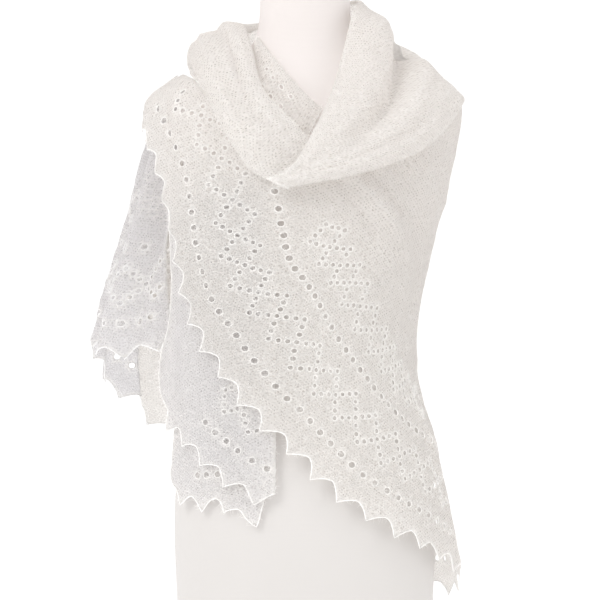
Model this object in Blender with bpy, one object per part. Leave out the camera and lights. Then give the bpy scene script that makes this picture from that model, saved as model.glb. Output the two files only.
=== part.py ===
# Lace shawl wound round a limbless dress form. Metres, +Z up, the wearer's front faces -Y.
# The origin is the middle of the form's flat base.
import math
from collections import namedtuple

import bmesh
import bpy
from mathutils import Vector
from mathutils.geometry import delaunay_2d_cdt

# Cloth
WALL = 0.0016           # thickness of the knitted cloth
LAYER = 0.008           # from one layer of cloth to the next
SEAM = 0.0008           # gap between two stretches that meet
UNROLLED = 0.17         # metres round the body for each radian, where cloth is laid out flat

# Lace, all measured from the pointed edge
POINT_PITCH = 0.040     # from one point of the edging to the next
POINT_DEPTH = 0.018
POINT_SHAPE = (         # how far along a point, and how much of its depth it has there
    (0.0, 0.0), (0.28, 0.38), (0.5, 1.0), (0.72, 0.38),
)
ROW_A = 0.032           # first row of large eyelets
ROW_B = 0.132           # second row of large eyelets
MID_A = 0.082           # middle of the lace band between the two rows
MID_B = 0.182           # middle of the lace band past the second row
ROW_PITCH = 0.020       # from one large eyelet to the next
EYELET = 0.0043         # radius of a large eyelet
LACE_HOLE = 0.0033      # radius of a hole in the lace band
LACE_PITCH = 0.0108     # from one hole to the next along a side of a diamond
DIAMOND_SIDE = 3        # steps of that pitch in a side of a diamond; the diamonds touch at a corner
DIAMOND = ((0, 0), (2, 0), (3, 1), (1, 3), (0, 2))  # every other hole of a diamond, as steps up and down
HOLE_SIDES = 6
LACE_HOLE_SIDES = 5

# Where rows of holes start and stop, in metres from the two ends of the edge
Row = namedtuple("Row", "start short depth")
FRONT_ROWS = [Row(0.06, 0.00, ROW_A), Row(0.06, 0.00, ROW_B)]
FRONT_DIAMONDS = [Row(0.07, 0.00, MID_A), Row(0.27, 0.12, MID_B)]
BACK_ROW = Row(0.05, 0.02, ROW_A)
DRAPE_ROW = Row(0.02, 0.00, ROW_A)
DRAPE_DIAMONDS = Row(0.02, 0.00, MID_A)
THROWN_ROW = Row(0.06, 0.08, ROW_A)
UPPER_END_ROW = Row(0.36, 0.00, ROW_A)
UPPER_END_DIAMONDS = Row(0.36, 0.02, MID_A)
UPPER_END_PLAIN = 0.30  # how much of the upper layer's edge is plain, before its points
LOWER_END_PLAIN = 0.08
THROWN_LAYERS = 1.3     # how many layers out from the back the thrown end lies

# Steps of the cloth's faces across and up
Steps = namedtuple("Steps", "across up")
FRONT_STEPS = Steps(0.036, 0.030)
BACK_STEPS = Steps(0.036, 0.036)
DRAPE_STEPS = Steps(0.026, 0.030)
THROWN_STEPS = Steps(0.032, 0.032)
END_STEPS = Steps(0.028, 0.030)
ROLL_STEPS = Steps(0.021, 0.0136)
TOP_STEP = 0.030        # along the top line of a stretch
BACK_TOP_STEP = 0.040
LONGEST_STEP = 0.030    # longest straight side of an outline
HOLE_MARGIN = 0.005     # least cloth between a hole and an edge
HOLE_CLEAR = 0.008      # least distance from a hole to a corner of the cloth's faces
EDGE_CLEAR = 0.4        # and from an edge to one, as a share of the steps
INSIDE_HOLE = 0.8       # faces whose middle is within this share of a hole's radius are cut away
EDGE_SAMPLES = 240
SQUARE_WINDOW = 0.10    # length of edge on each side that sets which way is inward for the rows
POINT_WINDOW = 0.02     # the same for the points

# Dress form: half widths at each height
Body = namedtuple("Body", "height side front back")
BODY = [
    Body(0.000, 0.1660, 0.110, 0.126),
    Body(0.075, 0.1700, 0.116, 0.131),
    Body(0.180, 0.1735, 0.122, 0.134),
    Body(0.250, 0.1690, 0.120, 0.130),
    Body(0.310, 0.1560, 0.111, 0.118),
    Body(0.365, 0.1370, 0.098, 0.101),
    Body(0.414, 0.1240, 0.090, 0.089),
    Body(0.465, 0.1260, 0.093, 0.087),
    Body(0.520, 0.1360, 0.104, 0.091),
    Body(0.580, 0.1470, 0.119, 0.097),
    Body(0.630, 0.1560, 0.116, 0.102),
    Body(0.680, 0.1670, 0.103, 0.105),
    Body(0.715, 0.1720, 0.089, 0.103),
    Body(0.740, 0.1620, 0.078, 0.097),
    Body(0.762, 0.1360, 0.067, 0.089),
    Body(0.782, 0.1040, 0.057, 0.080),
    Body(0.802, 0.0790, 0.049, 0.071),
    Body(0.828, 0.0640, 0.044, 0.066),
    Body(0.865, 0.0600, 0.044, 0.069),
    Body(0.918, 0.0590, 0.046, 0.072),
    Body(0.930, 0.0550, 0.042, 0.068),
    Body(0.934, 0.0440, 0.031, 0.057),
]
BODY_SIDES = 28
BODY_STEP = 0.032
BODY_TOP_ROWS = 3       # rows of the table kept as they are, round the cap's edge
BODY_TOP_GAP = 0.010

# Cloth wound round the body: half widths at each height, right and left as seen from the front
Wrap = namedtuple("Wrap", "height right left front back")
WRAP = [
    Wrap(0.070, 0.2110, 0.212, 0.150, 0.158),
    Wrap(0.140, 0.1990, 0.210, 0.148, 0.156),
    Wrap(0.208, 0.1890, 0.208, 0.145, 0.154),
    Wrap(0.250, 0.1820, 0.207, 0.143, 0.149),
    Wrap(0.290, 0.1740, 0.207, 0.140, 0.142),
    Wrap(0.348, 0.1550, 0.209, 0.136, 0.130),
    Wrap(0.381, 0.1485, 0.211, 0.134, 0.124),
    Wrap(0.414, 0.1460, 0.211, 0.134, 0.119),
    Wrap(0.447, 0.1490, 0.208, 0.136, 0.117),
    Wrap(0.500, 0.1595, 0.205, 0.141, 0.118),
    Wrap(0.547, 0.1700, 0.207, 0.146, 0.120),
    Wrap(0.607, 0.1850, 0.211, 0.147, 0.124),
    Wrap(0.671, 0.2005, 0.215, 0.133, 0.126),
    Wrap(0.724, 0.2080, 0.214, 0.112, 0.122),
    Wrap(0.743, 0.2040, 0.206, 0.101, 0.118),
    Wrap(0.762, 0.1820, 0.183, 0.088, 0.111),
    Wrap(0.782, 0.1460, 0.145, 0.076, 0.102),
    Wrap(0.800, 0.1200, 0.122, 0.066, 0.092),
]

# Cloth that hangs over the place of the arm, out to the left of the body
Flare = namedtuple("Flare", "height side front back")
FLARE = [
    Flare(0.300, 0.2780, 0.058, 0.148),
    Flare(0.381, 0.2860, 0.058, 0.136),
    Flare(0.412, 0.2840, 0.058, 0.130),
    Flare(0.474, 0.2710, 0.058, 0.124),
    Flare(0.527, 0.2555, 0.058, 0.122),
    Flare(0.598, 0.2340, 0.060, 0.124),
    Flare(0.643, 0.2235, 0.061, 0.126),
    Flare(0.698, 0.2060, 0.058, 0.122),
    Flare(0.724, 0.1990, 0.056, 0.118),
    Flare(0.750, 0.1880, 0.045, 0.108),
    Flare(0.785, 0.1450, 0.032, 0.096),
]

# Lines on the cloth: degrees round the body from the middle of the front, and height
Place = namedtuple("Place", "angle height")
FRONT_EDGE = [
    Place(-92, 0.742), Place(-73, 0.705), Place(-59, 0.650), Place(-54, 0.590), Place(-51, 0.530),
    Place(-46, 0.472), Place(-34, 0.413), Place(-20, 0.349), Place(-3, 0.289), Place(15, 0.232),
    Place(31, 0.198), Place(46, 0.175), Place(60, 0.155), Place(78, 0.130), Place(94, 0.109),
]
FRONT_TOP = [
    Place(94, 0.752), Place(78, 0.740), Place(64, 0.712), Place(46, 0.680), Place(28, 0.660),
    Place(12, 0.648), Place(-2, 0.642), Place(-12, 0.650), Place(-20, 0.674), Place(-27, 0.704),
    Place(-35, 0.734), Place(-48, 0.758), Place(-66, 0.769), Place(-92, 0.774),
]
BACK_EDGE = [
    Place(94.6, 0.107), Place(108, 0.094), Place(125, 0.092), Place(145, 0.112), Place(168, 0.155),
    Place(192, 0.215), Place(214, 0.280), Place(232, 0.330),
]
BACK_TOP = [
    Place(232, 0.770), Place(214, 0.782), Place(190, 0.790), Place(165, 0.790), Place(140, 0.784),
    Place(115, 0.770), Place(94.6, 0.752),
]
DRAPE_EDGE = [
    Place(-127.1, 0.344), Place(-116, 0.364), Place(-104, 0.390), Place(-92, 0.423), Place(-80, 0.424),
    Place(-66, 0.412), Place(-52, 0.414), Place(-38, 0.432),
]
DRAPE_TOP = [
    Place(-59, 0.700), Place(-70, 0.728), Place(-82, 0.742), Place(-100, 0.750), Place(-127.1, 0.764),
]
THROWN_EDGE = [
    Place(188, 0.474), Place(196, 0.462), Place(210, 0.440), Place(224, 0.424), Place(236, 0.432),
    Place(239, 0.480), Place(241, 0.550), Place(244, 0.620), Place(251, 0.690), Place(267.5, 0.738),
]
THROWN_TOP = [
    Place(267.5, 0.773), Place(235, 0.768), Place(210, 0.766), Place(188, 0.764),
]
UPPER_END_EDGE = [
    Place(-61, 0.620), Place(-62, 0.540), Place(-62, 0.450), Place(-69, 0.392), Place(-70, 0.355),
    Place(-63, 0.330), Place(-62, 0.315), Place(-52, 0.304), Place(-43, 0.281), Place(-34, 0.259),
    Place(-25, 0.241), Place(-17, 0.228), Place(-11, 0.227),
]
UPPER_END_TOP = [
    Place(-11, 0.630), Place(-25, 0.640), Place(-40, 0.640), Place(-61, 0.625),
]
LOWER_END_EDGE = [
    Place(-63, 0.300), Place(-66, 0.262), Place(-66, 0.236), Place(-54, 0.222), Place(-43, 0.218),
    Place(-34, 0.218), Place(-27, 0.206), Place(-21, 0.200), Place(-16, 0.214),
]
LOWER_END_TOP = [
    Place(-16, 0.600), Place(-35, 0.610), Place(-56, 0.600),
]

# Sections of the rolled top edge, from the middle of the front over the right shoulder, behind the
# neck and over the left shoulder: rim at the neck, outer edge, how far it stands out, and its crease
Roll = namedtuple("Roll", "rim_x rim_y rim_z edge_x edge_y edge_z swell crease")
ROLL = [
    Roll(-0.046, -0.170, 0.626, -0.022, -0.172, 0.617, 0.006, 0.000),
    Roll(-0.026, -0.175, 0.634, 0.034, -0.175, 0.626, 0.012, 0.000),
    Roll(-0.006, -0.172, 0.657, 0.098, -0.158, 0.644, 0.020, 0.004),
    Roll(0.013, -0.158, 0.693, 0.152, -0.122, 0.669, 0.026, 0.012),
    Roll(0.031, -0.133, 0.732, 0.188, -0.084, 0.703, 0.028, 0.024),
    Roll(0.047, -0.095, 0.785, 0.206, -0.038, 0.730, 0.022, 0.030),
    Roll(0.062, -0.045, 0.848, 0.211, 0.010, 0.742, 0.011, 0.030),
    Roll(0.070, 0.020, 0.872, 0.200, 0.060, 0.745, 0.010, 0.022),
    Roll(0.062, 0.072, 0.880, 0.160, 0.108, 0.755, 0.018, 0.008),
    Roll(0.026, 0.106, 0.876, 0.070, 0.135, 0.768, 0.018, 0.000),
    Roll(-0.020, 0.108, 0.866, -0.030, 0.138, 0.770, 0.018, 0.000),
    Roll(-0.056, 0.086, 0.852, -0.105, 0.118, 0.768, 0.020, 0.000),
    Roll(-0.076, 0.045, 0.840, -0.152, 0.072, 0.782, 0.026, 0.000),
    Roll(-0.078, 0.000, 0.834, -0.154, 0.010, 0.790, 0.022, 0.000),
    Roll(-0.068, -0.067, 0.796, -0.139, -0.066, 0.761, 0.020, 0.000),
    Roll(-0.057, -0.098, 0.752, -0.121, -0.102, 0.727, 0.015, 0.000),
    Roll(-0.036, -0.124, 0.722, -0.104, -0.128, 0.692, 0.013, 0.000),
    Roll(-0.013, -0.140, 0.699, -0.084, -0.146, 0.659, 0.011, 0.000),
    Roll(0.003, -0.148, 0.679, -0.060, -0.154, 0.632, 0.008, 0.000),
    Roll(0.018, -0.148, 0.668, -0.022, -0.154, 0.622, 0.005, 0.000),
]
ROLL_RIGHT_ENDS = 8.0   # row where the right cowl meets the collar
ROLL_LEFT_STARTS = 12.0  # row where the collar meets the left cowl
ROLL_ROW = 0.045        # length of a row of the table, where a roll is laid out flat
ROLL_GIRTH = 0.150      # and the distance round it
ROLL_WINDOW = 0.4       # rows on each side that set which way a roll runs
ROLL_UPWARD = 0.10      # how much of the outward direction is up
INNER_EYELETS = [(along, part) for along in (2.4, 2.9, 3.4, 3.9) for part in (0.38, 0.56)]
INNER_FOLD = [
    Roll(-0.062, -0.026, 0.821, -0.066, -0.034, 0.803, 0.003, 0.000),
    Roll(-0.054, -0.044, 0.808, -0.070, -0.052, 0.775, 0.004, 0.000),
    Roll(-0.043, -0.064, 0.792, -0.077, -0.070, 0.750, 0.004, 0.000),
    Roll(-0.027, -0.078, 0.771, -0.069, -0.090, 0.728, 0.004, 0.000),
    Roll(-0.004, -0.095, 0.744, -0.044, -0.108, 0.702, 0.004, 0.000),
    Roll(0.012, -0.103, 0.728, -0.017, -0.117, 0.686, 0.004, 0.000),
    Roll(0.022, -0.106, 0.720, 0.002, -0.119, 0.680, 0.003, 0.000),
]
LIP = math.radians(14)  # how far round a roll's edges turn in
LIP_GAP = 0.0035         # least space between a lip and what lies under it
OUTER_GAP = 0.006       # and how much further out the roll's outside stays
COVER_ABOVE = 0.030     # a roll clears the wound cloth up to this far above its top line
COVER_FADE = 0.020      # and past it comes in to the form over this height
CREASE_AT = 0.46        # where round a roll its crease is, and how wide
CREASE_WIDTH = 0.10
LEAVES_BODY = 175       # degrees round the body where the back starts to hang clear of it
HANGS_CLEAR = 232

# Soft folds: where a ridge starts and ends, its width and its height, troughs below zero
Fold = namedtuple("Fold", "angle height end_angle end_height width rise")
FRONT_FOLDS = [
    Fold(12, 0.640, 42, 0.560, 0.016, 0.007),
    Fold(40, 0.640, 75, 0.470, 0.022, -0.004),
    Fold(66, 0.320, 84, 0.130, 0.014, 0.005),
    Fold(84, 0.360, 92, 0.140, 0.012, -0.004),
    Fold(-70, 0.690, -30, 0.480, 0.020, 0.004),
    Fold(-40, 0.720, -16, 0.560, 0.022, -0.004),
    Fold(-10, 0.560, 40, 0.330, 0.030, 0.003),
]
DRAPE_FOLDS = [
    Fold(-50, 0.640, -56, 0.380, 0.014, -0.008),
    Fold(-64, 0.680, -70, 0.380, 0.014, 0.007),
    Fold(-78, 0.660, -82, 0.380, 0.014, -0.008),
    Fold(-104, 0.640, -102, 0.340, 0.018, -0.010),
    Fold(-116, 0.640, -114, 0.330, 0.016, 0.007),
]
BACK_FOLDS = [
    Fold(110, 0.640, 118, 0.100, 0.030, 0.006),
    Fold(138, 0.620, 140, 0.120, 0.032, -0.004),
    Fold(165, 0.600, 160, 0.150, 0.034, 0.006),
    Fold(196, 0.400, 190, 0.220, 0.034, -0.004),
    Fold(216, 0.420, 214, 0.270, 0.030, 0.006),
]
THROWN_FOLDS = [
    Fold(248, 0.740, 232, 0.430, 0.018, 0.007),
    Fold(230, 0.740, 218, 0.430, 0.018, -0.003),
    Fold(212, 0.740, 204, 0.450, 0.018, 0.006),
]
END_FOLDS = [
    Fold(-50, 0.480, -48, 0.260, 0.014, 0.003),
    Fold(-33, 0.420, -30, 0.200, 0.014, -0.003),
]

IVORY = (0.86, 0.84, 0.79, 1.0)
COOL_IVORY = (0.80, 0.80, 0.78, 1.0)
FORM_WHITE = (0.87, 0.85, 0.80, 1.0)
CLOTH_ROUGHNESS = 0.92
FORM_ROUGHNESS = 0.75


def between(rows, at):
    """Values of a table between two of its rows, on a smooth curve. The first column is the key."""
    last = len(rows) - 1
    step = 0
    while step < last - 1 and at > rows[step + 1][0]:
        step += 1
    low, high = rows[step], rows[step + 1]
    before, after = rows[max(step - 1, 0)], rows[min(step + 2, last)]
    span = high[0] - low[0]
    part = min(max((at - low[0]) / span, 0.0), 1.0)
    values = []
    for column in range(1, len(low)):
        rise = span * (high[column] - before[column]) / (high[0] - before[0])
        fall = span * (after[column] - low[column]) / (after[0] - low[0])
        square, cube = part ** 2, part ** 3
        values.append((2 * cube - 3 * square + 1) * low[column] + (cube - 2 * square + part) * rise
                      + (3 * square - 2 * cube) * high[column] + (cube - square) * fall)
    return values


def numbered(rows):
    """The same rows, keyed by their place in the table."""
    return [(float(place), *row) for place, row in enumerate(rows)]


def on_wrap(angle, height, out=0.0):
    """A point on the cloth wound round the body, moved out by a distance."""
    right, left, front, back = between(WRAP, height)
    wide = right if math.sin(angle) > 0 else left
    deep = front if math.cos(angle) > 0 else back
    return Vector(((wide + out) * math.sin(angle), -(deep + out) * math.cos(angle), height))


def on_flare(angle, height, out=0.0):
    """A point on the cloth that hangs over the place of the arm."""
    side, front, back = between(FLARE, height)
    deep = front if math.cos(angle) > 0 else back
    return Vector(((side + out) * math.sin(angle), -(deep + out) * math.cos(angle), height))


def on_back(angle, height, out=0.0):
    """A point on the back, which leads from the wound cloth on the right to the hanging cloth."""
    part = (math.degrees(angle) - LEAVES_BODY) / (HANGS_CLEAR - LEAVES_BODY)
    part = min(max(part, 0.0), 1.0)
    part = part * part * (3 - 2 * part)
    return on_wrap(angle, height, out).lerp(on_flare(angle, height, out), part)


def fold_rise(folds, across, height):
    """How far the folds lift the cloth at a place of the unrolled plane."""
    place = Vector((across, height))
    rise = 0.0
    for fold in folds:
        start = Vector((math.radians(fold.angle) * UNROLLED, fold.height))
        end = Vector((math.radians(fold.end_angle) * UNROLLED, fold.end_height))
        line = end - start
        part = (place - start).dot(line) / line.length_squared
        nearest = start + line * min(max(part, 0.0), 1.0)
        away = (place - nearest).length / fold.width
        rise += fold.rise * math.exp(-away * away)
    return rise


class Edge:
    """A line on the unrolled cloth, measured along its length."""

    def __init__(self, rows):
        keyed = numbered(rows)
        self.points = []
        for sample in range(EDGE_SAMPLES + 1):
            angle, height = between(keyed, (len(rows) - 1) * sample / EDGE_SAMPLES)
            self.points.append(Vector((math.radians(angle) * UNROLLED, height)))
        self.runs = [0.0]
        for start, end in zip(self.points, self.points[1:]):
            self.runs.append(self.runs[-1] + (end - start).length)
        self.length = self.runs[-1]

    def at(self, run):
        run = min(max(run, 0.0), self.length)
        step = 0
        while step < len(self.runs) - 2 and self.runs[step + 1] < run:
            step += 1
        part = (run - self.runs[step]) / (self.runs[step + 1] - self.runs[step])
        return self.points[step].lerp(self.points[step + 1], part)

    def inward(self, run, window):
        """The direction into the cloth, square to the line, with the cloth on its left hand."""
        along = self.at(run + window) - self.at(run - window)
        return Vector((-along.y, along.x)).normalized()

    def inside(self, run, depth):
        return self.at(run) + self.inward(run, SQUARE_WINDOW) * depth

    def steps(self, size):
        count = max(round(self.length / size), 1)
        return [self.at(self.length * step / count) for step in range(count + 1)]

    def pointed(self, start=0.0):
        """The edging: a row of points that stand out from the line, plain before start."""
        outline = []
        count = max(round((self.length - start) / POINT_PITCH), 1)
        pitch = (self.length - start) / count
        plain = round(start / LONGEST_STEP)
        outline += [self.at(start * step / plain) for step in range(plain)]
        for point in range(count):
            for part, reach in POINT_SHAPE:
                run = start + (point + part) * pitch
                outline.append(self.at(run) - self.inward(run, POINT_WINDOW) * POINT_DEPTH * reach)
        outline.append(self.at(self.length))
        return outline


def contains(outline, place):
    """Whether a place lies inside a closed outline."""
    inside = False
    before = outline[-1]
    for after in outline:
        if (before.y > place.y) != (after.y > place.y):
            crossing = before.x + (after.x - before.x) * (place.y - before.y) / (after.y - before.y)
            if crossing > place.x:
                inside = not inside
        before = after
    return inside


def distance_to(outline, place):
    """From a place to the nearest point of a closed outline."""
    nearest = 1.0
    before = outline[-1]
    for after in outline:
        line = after - before
        if line.length_squared > 0:
            part = min(max((place - before).dot(line) / line.length_squared, 0.0), 1.0)
            nearest = min(nearest, (place - before - line * part).length)
        before = after
    return nearest


def closed(line):
    """A closed outline whose long straight stretches get steps."""
    outline = []
    for start, end in zip(line, line[1:] + line[:1]):
        count = max(math.ceil((end - start).length / LONGEST_STEP), 1)
        outline += [start.lerp(end, step / count) for step in range(count)]
    return outline


def lattice(low, high, across, up):
    """Places in staggered rows that fill a box."""
    places = []
    rows = int((high.y - low.y) / up)
    for row in range(rows + 1):
        shift = across / 2 if row % 2 else 0.0
        for column in range(int((high.x - low.x) / across) + 1):
            places.append(Vector((low.x + shift + column * across, low.y + row * up)))
    return places


def cloth(name, outline, holes, place_at, steps, colour):
    """A closed wall of cloth over an outline of the unrolled plane, with its holes cut through."""
    outline = closed(outline)
    holes = [hole for hole in holes if contains(outline, hole[0])
             and distance_to(outline, hole[0]) > hole[1] + HOLE_MARGIN]
    low = Vector((min(point.x for point in outline), min(point.y for point in outline)))
    high = Vector((max(point.x for point in outline), max(point.y for point in outline)))
    points = list(outline)
    edges = []
    for centre, radius in holes:
        first = len(points)
        sides = HOLE_SIDES if radius > LACE_HOLE else LACE_HOLE_SIDES
        for side in range(sides):
            turn = 2 * math.pi * side / sides
            points.append(centre + Vector((math.cos(turn), math.sin(turn))) * radius)
            edges.append((first + side, first + (side + 1) % sides))
    for place in lattice(low, high, *steps):
        if not contains(outline, place) or distance_to(outline, place) < EDGE_CLEAR * min(steps):
            continue
        if any((place - centre).length < radius + HOLE_CLEAR for centre, radius in holes):
            continue
        points.append(place)
    flat, _, faces, _, _, _ = delaunay_2d_cdt(points, edges, [list(range(len(outline)))], 1, 1e-6)
    built = bmesh.new()
    corners = [built.verts.new(place_at(point.x, point.y)) for point in flat]
    for face in faces:
        middle = (flat[face[0]] + flat[face[1]] + flat[face[2]]) / 3
        if any((middle - centre).length < radius * INSIDE_HOLE for centre, radius in holes):
            continue
        built.faces.new([corners[corner] for corner in face])
    bmesh.ops.delete(built, geom=[corner for corner in built.verts if not corner.link_faces],
                     context="VERTS")
    bmesh.ops.recalc_face_normals(built, faces=built.faces)
    made = finish(name, built, colour, CLOTH_ROUGHNESS)
    thick = made.modifiers.new("Wall", "SOLIDIFY")
    thick.thickness = WALL
    thick.offset = 0.0
    print(name, "holes", len(holes))


def finish(name, built, colour, roughness):
    """Turns a built mesh into a named object with its own material."""
    mesh = bpy.data.meshes.new(name)
    built.to_mesh(mesh)
    built.free()
    mesh.shade_smooth()
    material = bpy.data.materials.new(name)
    material.use_nodes = True
    shader = material.node_tree.nodes["Principled BSDF"]
    shader.inputs["Base Color"].default_value = colour
    shader.inputs["Roughness"].default_value = roughness
    shader.inputs["Metallic"].default_value = 0.0
    mesh.materials.append(material)
    made = bpy.data.objects.new(name, mesh)
    bpy.context.collection.objects.link(made)
    return made


def eyelets(edge, row):
    """A row of large eyelets that follows the edge at a set distance."""
    count = int((edge.length - row.short - row.start) / ROW_PITCH)
    return [(edge.inside(row.start + ROW_PITCH * (step + 0.5), row.depth), EYELET) for step in range(count)]


def diamonds(edge, row):
    """A chain of diamonds of smaller holes that touch at their corners, centred on the row's depth."""
    holes = []
    half = LACE_PITCH / math.sqrt(2)
    repeat = 2 * DIAMOND_SIDE * half
    for number in range(int((edge.length - row.short - row.start) / repeat)):
        for up, down in DIAMOND:
            run = row.start + number * repeat + (up + down) * half
            holes.append((edge.inside(run, row.depth + (up - down) * half), LACE_HOLE))
    return holes


def dress_form():
    """A smooth torso with a plain neck cap and a flat base."""
    built = bmesh.new()
    top_rows = BODY[-BODY_TOP_ROWS:]
    count = round(BODY[-1].height / BODY_STEP)
    heights = [BODY[-1].height * step / count for step in range(count)]
    heights = [height for height in heights if height < top_rows[0].height - BODY_TOP_GAP]
    heights += [row.height for row in top_rows]
    before = None
    for height in heights:
        side, front, back = between(BODY, height)
        ring = []
        for step in range(BODY_SIDES):
            angle = 2 * math.pi * step / BODY_SIDES
            deep = front if math.cos(angle) > 0 else back
            ring.append(built.verts.new((side * math.sin(angle), -deep * math.cos(angle), height)))
        if before is None:
            built.faces.new(ring)
        else:
            for step in range(BODY_SIDES):
                after = (step + 1) % BODY_SIDES
                built.faces.new((before[step], before[after], ring[after], ring[step]))
        before = ring
    built.faces.new(before)
    bmesh.ops.recalc_face_normals(built, faces=built.faces)
    finish("dress_form", built, FORM_WHITE, FORM_ROUGHNESS)


def roll_point(rows, along, round_it):
    """A point of a rolled edge: along counts rows of the table, round_it goes from 0 at the rim to 1."""
    def ends(key):
        values = Roll(*between(rows, min(max(key, 0.0), len(rows) - 1.0)))
        rim = Vector((values.rim_x, values.rim_y, values.rim_z))
        edge = Vector((values.edge_x, values.edge_y, values.edge_z))
        return values, rim, edge

    values, rim, edge = ends(along)
    _, rim_before, edge_before = ends(along - ROLL_WINDOW)
    _, rim_after, edge_after = ends(along + ROLL_WINDOW)
    forward = (rim_after + edge_after) - (rim_before + edge_before)
    outward = (edge - rim).cross(forward).normalized()
    middle = (rim + edge) / 2
    if outward.dot(Vector((middle.x, middle.y, ROLL_UPWARD))) < 0:
        outward = -outward
    turn = -LIP + round_it * (math.pi + 2 * LIP)
    part = (1 - math.cos(turn)) / 2
    height = math.sin(turn)
    crease = values.crease * math.exp(-((part - CREASE_AT) / CREASE_WIDTH) ** 2)
    point = rim.lerp(edge, part) + outward * (values.swell * height - crease)
    return keep_clear(point, LIP_GAP + max(height, 0.0) * OUTER_GAP)


def keep_clear(point, gap):
    """The point, moved out level with itself until it is clear of the wound cloth or the form."""
    right, left, front, back = between(WRAP, point.z)
    across = point.x / (right if point.x > 0 else left)
    angle = math.degrees(math.atan2(across, -point.y / (front if point.y < 0 else back)))
    top = WRAP[-1].height
    if abs(angle) < FRONT_TOP[0].angle:
        top = between(FRONT_TOP[::-1], angle)[0]
    cover = min(max((top + COVER_ABOVE - point.z) / COVER_FADE, 0.0), 1.0)
    side, form_front, form_back = between(BODY, point.z)
    wide = side + ((right if point.x > 0 else left) - side) * cover
    deep = form_back + (back - form_back) * cover
    if point.y < 0:
        deep = form_front + (front - form_front) * cover
    reach = math.hypot(point.x / (wide + gap), point.y / (deep + gap))
    if reach >= 1.0:
        return point
    return Vector((point.x / reach, point.y / reach, point.z))


def roll(name, rows, start, stop, holes):
    """A stretch of the rolled edge between two rows of a table."""
    keyed = numbered(rows)
    low, high = start * ROLL_ROW, stop * ROLL_ROW
    columns = round((high - low) / ROLL_STEPS.across)
    lines = round(ROLL_GIRTH / ROLL_STEPS.up)
    steps = Steps((high - low) / columns, ROLL_GIRTH / lines)
    outline = [Vector((low + steps.across * step, 0.0)) for step in range(columns)]
    outline += [Vector((high, steps.up * step)) for step in range(lines)]
    outline += [Vector((high - steps.across * step, ROLL_GIRTH)) for step in range(columns)]
    outline += [Vector((low, ROLL_GIRTH - steps.up * step)) for step in range(lines)]
    placed = [(Vector((along * ROLL_ROW, part * ROLL_GIRTH)), EYELET) for along, part in holes]

    def place_at(across, up):
        return roll_point(keyed, across / ROLL_ROW, up / ROLL_GIRTH)

    cloth(name, outline, placed, place_at, steps, IVORY)


def build():
    for old in list(bpy.data.objects):
        bpy.data.objects.remove(old)
    dress_form()

    def front_at(p, q):
        return on_wrap(p / UNROLLED, q, fold_rise(FRONT_FOLDS, p, q))

    edge = Edge(FRONT_EDGE)
    outline = edge.pointed() + Edge(FRONT_TOP).steps(TOP_STEP)
    holes = [hole for row in FRONT_ROWS for hole in eyelets(edge, row)]
    holes += [hole for row in FRONT_DIAMONDS for hole in diamonds(edge, row)]
    cloth("front_wrap", outline, holes, front_at, FRONT_STEPS, IVORY)

    def back_at(p, q):
        return on_back(p / UNROLLED, q, fold_rise(BACK_FOLDS, p, q))

    edge = Edge(BACK_EDGE)
    outline = edge.pointed() + Edge(BACK_TOP).steps(BACK_TOP_STEP)
    cloth("back_wrap", outline, eyelets(edge, BACK_ROW), back_at, BACK_STEPS, IVORY)

    def drape_at(p, q):
        return on_flare(p / UNROLLED, q, fold_rise(DRAPE_FOLDS, p, q))

    edge = Edge(DRAPE_EDGE)
    outline = edge.pointed() + Edge(DRAPE_TOP).steps(TOP_STEP)
    holes = eyelets(edge, DRAPE_ROW) + diamonds(edge, DRAPE_DIAMONDS)
    cloth("left_drape", outline, holes, drape_at, DRAPE_STEPS, COOL_IVORY)

    def thrown_at(p, q):
        return on_back(p / UNROLLED, q, THROWN_LAYERS * LAYER + fold_rise(THROWN_FOLDS, p, q))

    edge = Edge(THROWN_EDGE)
    outline = edge.pointed() + Edge(THROWN_TOP).steps(TOP_STEP)
    cloth("thrown_end", outline, eyelets(edge, THROWN_ROW), thrown_at, THROWN_STEPS, IVORY)

    def upper_at(p, q):
        return on_wrap(p / UNROLLED, q, fold_rise(END_FOLDS, p, q) - LAYER)

    edge = Edge(UPPER_END_EDGE)
    outline = edge.pointed(UPPER_END_PLAIN) + Edge(UPPER_END_TOP).steps(TOP_STEP)
    holes = eyelets(edge, UPPER_END_ROW) + diamonds(edge, UPPER_END_DIAMONDS)
    cloth("under_end_upper", outline, holes, upper_at, END_STEPS, COOL_IVORY)

    def lower_at(p, q):
        return on_wrap(p / UNROLLED, q, fold_rise(END_FOLDS, p, q) - 2 * LAYER)

    edge = Edge(LOWER_END_EDGE)
    outline = edge.pointed(LOWER_END_PLAIN) + Edge(LOWER_END_TOP).steps(TOP_STEP)
    cloth("under_end_lower", outline, [], lower_at, END_STEPS, COOL_IVORY)

    gap = SEAM / ROLL_ROW
    roll("cowl_right", ROLL, 0.0, ROLL_RIGHT_ENDS, [])
    roll("collar_back", ROLL, ROLL_RIGHT_ENDS + gap, ROLL_LEFT_STARTS - gap, [])
    roll("cowl_left", ROLL, ROLL_LEFT_STARTS, len(ROLL) - 1.0, [])
    roll("cowl_inner", INNER_FOLD, 0.0, len(INNER_FOLD) - 1.0, INNER_EYELETS)


build()
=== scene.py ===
# Lace shawl wound round a limbless dress form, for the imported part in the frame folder.
import math

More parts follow.
